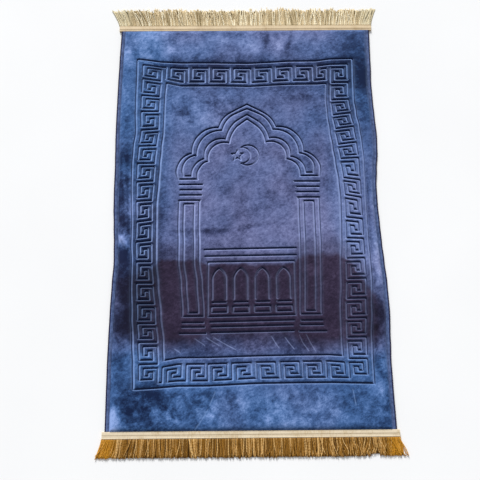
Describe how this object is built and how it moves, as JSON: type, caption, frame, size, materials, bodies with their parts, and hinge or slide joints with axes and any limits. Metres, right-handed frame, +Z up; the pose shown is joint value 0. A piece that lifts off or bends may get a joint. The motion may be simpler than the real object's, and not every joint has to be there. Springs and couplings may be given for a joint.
{
  "type": "prayer rug",
  "caption": "Padded velvet prayer rug lying flat, with a pressed arch, columns and key border, side bindings and a fringe on each short end; it rests on a floor",
  "frame": {"origin": "middle of the rug's underside, on the floor", "axes": "+X across the rug, +Y lengthways towards the point of the arch, +Z up"},
  "size_m": [0.7476, 1.2333, 0.016],
  "materials": {
    "velvet": "short brushed pile, pressed lines",
    "binding": "woven tape",
    "fringe": "satiny twisted yarn"
  },
  "bodies": {
    "root": {"rug_body": "velvet", "binding_left": "binding", "binding_right": "binding", "fringe_top": "fringe", "fringe_bottom": "fringe"}
  },
  "joints": []
}
